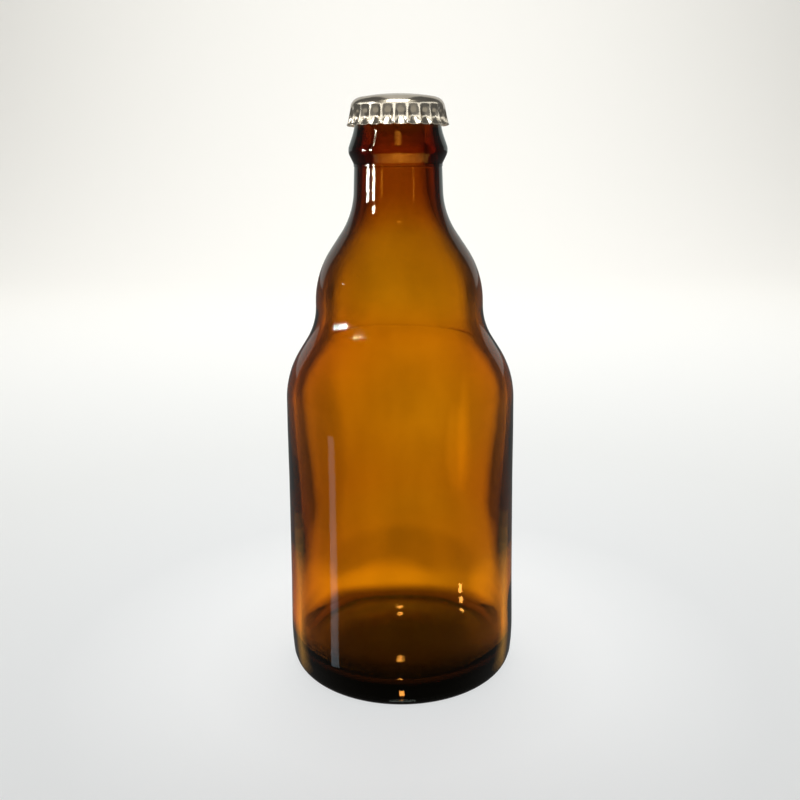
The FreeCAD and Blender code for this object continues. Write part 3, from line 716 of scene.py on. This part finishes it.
def pane(name, loc, aim, w, h, glow, half, color=(0.85, 0.92, 1.0), group=lit):
    """All lengths in millimetres; half is the half-angle of its beam."""
    loc, aim = Vector(loc) / 1000.0, Vector(aim) / 1000.0
    w, h = w / 1000.0, h / 1000.0
    t = math.radians(half)
    power = math.pi * w * h * glow * (math.tan(t) - t) / math.tan(t)
    ob = area(name, loc, aim, w, h, power, color)
    ob.data.spread = 2 * t
    ob.visible_camera = False
    ob.visible_transmission = False
    ob.light_linking.receiver_collection = group
    ob.light_linking.blocker_collection = group
    return ob


pane("pane_neck_a", (-118.3, -20.8, 154.5), (-8.7, -10.2, 150.0), 20, 18, 260, 13)
pane("pane_neck_b", (-107.2, -56.8, 156.0), (-7.1, -11.4, 150.5), 17, 15, 260, 13)
pane("pane_flare", (-100.7, -56.0, 179.5), (-7.2, -12.2, 141.5), 17, 15, 260, 8)
pane("pane_waist_a", (-56.8, -23.0, 111.3), (-17.0, -19.5, 108.5), 2.2, 2.8, 1050, 6)
pane("pane_waist_b", (-54.1, -30.5, 111.3), (-15.3, -20.7, 108.8), 2.9, 2.8, 1050, 6)
pane("pane_waist_c", (-58.6, -14.2, 111.0), (-18.5, -18.2, 108.1), 0.9, 2.8, 700, 6)
pane("pane_shoulder", (-42.8, -44.8, 119.4), (-11.6, -23.8, 105.9), 11.0, 2.2, 1000, 8)
pane("pane_finish", (-89.9, -54.2, 214.0), (-6.4, -12.0, 164.0), 9, 17, 200, 6)
pane("pane_bead_a", (-88.5, -3.7, 222.6), (-10.0, -10.7, 161.0), 10, 3, 260, 1.6)
pane("pane_bead_b", (-84.9, -30.2, 222.6), (-8.2, -12.1, 161.0), 10, 3, 260, 1.6)
# amber glints: light from the front that comes back out of the glass
AMBER = (1.0, 0.42, 0.06)
for k, glow in ((-3, 6.0), (-2, 10.0), (-1, 17.0), (0, 27.0), (1, 20.0), (2, 13.0), (3, 9.0), (4, 6.0)):
    turn, tip = math.radians(10.0 * k), math.radians(46.0)
    at = Vector((14.6 * math.sin(turn), -14.6 * math.cos(turn), 157.0))
    away = Vector((math.sin(2 * turn) * math.cos(tip), -math.cos(2 * turn) * math.cos(tip), -math.sin(tip)))
    pane("glint_bead_%d" % (k + 3), at + away * 60.0, at, 21, 36, glow, 22, AMBER)
# a cool line on the heel, from the pale table just in front
pane("heel_line", (0.0, -95.0, -85.0), (0.0, -33.0, 2.0), 44, 26, 4.0, 70, (0.72, 0.95, 1.0))
# the glow along both sides of the heel
for side in (-1, 1):
    for k in range(6):
        pane("side_glow_%d_%d" % (1 + side, k), (side * 101.0, 40.7, -24.0 - 2.0 * k), (side * 31.6, -15.1, 20.0 - 2.0 * k),
             52 - 9 * k, 74 - 9 * k, 0.21, 30, (1.0, 0.50, 0.08))
# sparks low in the glass
SPARK = (1.0, 0.46, 0.11)
for name, loc, aim, w, h in (
        ("a", (-3.9, -123.8, -14.5), (-0.6, -34.9, 31.1), 16, 1.0), ("b", (-3.9, -123.5, -17.2), (-0.6, -34.9, 29.0), 12, 1.0),
        ("c", (-3.9, -122.5, -32.9), (-0.6, -35.0, 15.4), 16, 2.2), ("d", (-3.8, -117.0, -47.7), (-0.6, -35.0, 9.4), 13, 2.0),
        ("e", (-1.8, -108.2, -62.6), (-0.3, -34.8, 5.3), 9, 4.0), ("f", (95.1, -74.3, -9.5), (16.6, -30.7, 34.4), 8, 3.4),
        ("g", (95.7, -72.5, -14.2), (16.9, -30.5, 30.8), 8, 1.9), ("h", (96.4, -70.8, -18.2), (17.2, -30.4, 27.5), 9, 0.8)):
    pane("spark_" + name, loc, aim, w, h, 80, 4, SPARK)
pane("glint_mouth", (1.0, -91.0, 224.0), (0.3, -12.2, 164.0), 30, 36, 26, 9, AMBER)
pane("glint_neck_a", (-73.0, -85.6, 154.0), (-4.9, -12.5, 150.0), 8, 12, 22, 7, AMBER)
pane("glint_neck_b", (67.5, -90.0, 158.0), (4.6, -12.6, 147.0), 7, 16, 22, 9, AMBER)
# a dim upright strip low on the left
pane("pane_strip", (-116.0, -60.0, 0.0), (-19.4, -29.0, 42.0), 17, 92, 3.4, 40, (0.55, 0.74, 1.0))
# a small lamp high behind, seen again and again inside the glass
pane("lamp", (0.0, 450.0, 1200.0), (0.0, 0.0, 60.0), 140, 60, 160, 20, (1.0, 0.97, 0.90))

# the cap is lit by itself: a ceiling card in front, the pale table below it,
# a lamp high behind and the window high on the left
pane("cap_ceiling", (0.0, -468.0, 690.0), (0.0, 0.0, 170.0), 1000, 420, 0.55, 89, (1.0, 0.95, 0.82), lit_cap)
pane("cap_lamp", (0.0, -370.0, 640.0), (0.0, 0.0, 172.0), 460, 260, 5.0, 80, (1.0, 0.98, 0.90), lit_cap)
pane("cap_band_f", (0.0, -453.0, 380.0), (0.0, 0.0, 170.0), 900, 90, 1.9, 89, (1.0, 0.98, 0.92), lit_cap)
pane("cap_band_l", (-450.0, -80.0, 380.0), (0.0, 0.0, 170.0), 700, 90, 1.9, 89, (1.0, 0.98, 0.92), lit_cap)
pane("cap_band_r", (450.0, -80.0, 380.0), (0.0, 0.0, 170.0), 700, 90, 1.3, 89, (1.0, 0.98, 0.92), lit_cap)
pane("cap_table", (0.0, -150.0, -40.0), (0.0, -150.0, 900.0), 2600, 2600, 0.34, 89, (1.0, 0.92, 0.76), lit_cap)
pane("cap_front", (0.0, -600.0, 200.0), (0.0, 0.0, 170.0), 1800, 260, 0.12, 89, (1.0, 0.95, 0.85), lit_cap)
pane("cap_top", (0.0, 60.0, 900.0), (0.0, 0.0, 172.0), 460, 900, 0.50, 89, (1.0, 0.98, 0.92), lit_cap)
pane("cap_window", (-424.0, -155.0, 406.0), (-7.0, -11.0, 171.0), 110, 110, 8.0, 60, (1.0, 0.98, 0.95), lit_cap)

# the pale wall behind, as the two mirror it along their outlines
pane("rim_glass", (0.0, 1600.0, 1200.0), (0.0, 0.0, 1200.0), 3600, 2200, 0.45, 89, (0.88, 1.0, 0.97))
pane("rim_cap", (0.0, 1600.0, 1200.0), (0.0, 0.0, 1200.0), 2300, 2200, 0.5, 89, (1.0, 0.98, 0.92), lit_cap)

world = bpy.data.worlds.new("soft_room")
world.use_nodes = True
bg = world.node_tree.nodes["Background"]
bg.inputs["Color"].default_value = (1.0, 0.99, 0.97, 1)
bg.inputs["Strength"].default_value = 0.12
bpy.context.scene.world = world

scene = bpy.context.scene
scene.view_settings.view_transform = "Standard"

# ----------------------------------------------------------------- camera
cam_data = bpy.data.cameras.new("camera")
cam = bpy.data.objects.new("camera", cam_data)
scene.collection.objects.link(cam)
cam_data.sensor_width = 36.0
cam_data.lens = 40.72
cam_data.shift_x = 0.0010
cam_data.shift_y = -0.1435
cam_data.clip_start = 0.01
cam.location = (0.0, -0.275, 0.1543)
pitch = math.radians(90.0 - 7.6)
roll = math.radians(0.50)
cam.rotation_mode = "QUATERNION"
cam.rotation_quaternion = (Matrix.Rotation(pitch, 3, "X") @ Matrix.Rotation(-roll, 3, "Z")).to_quaternion()
scene.camera = cam

bpy.context.view_layer.update()
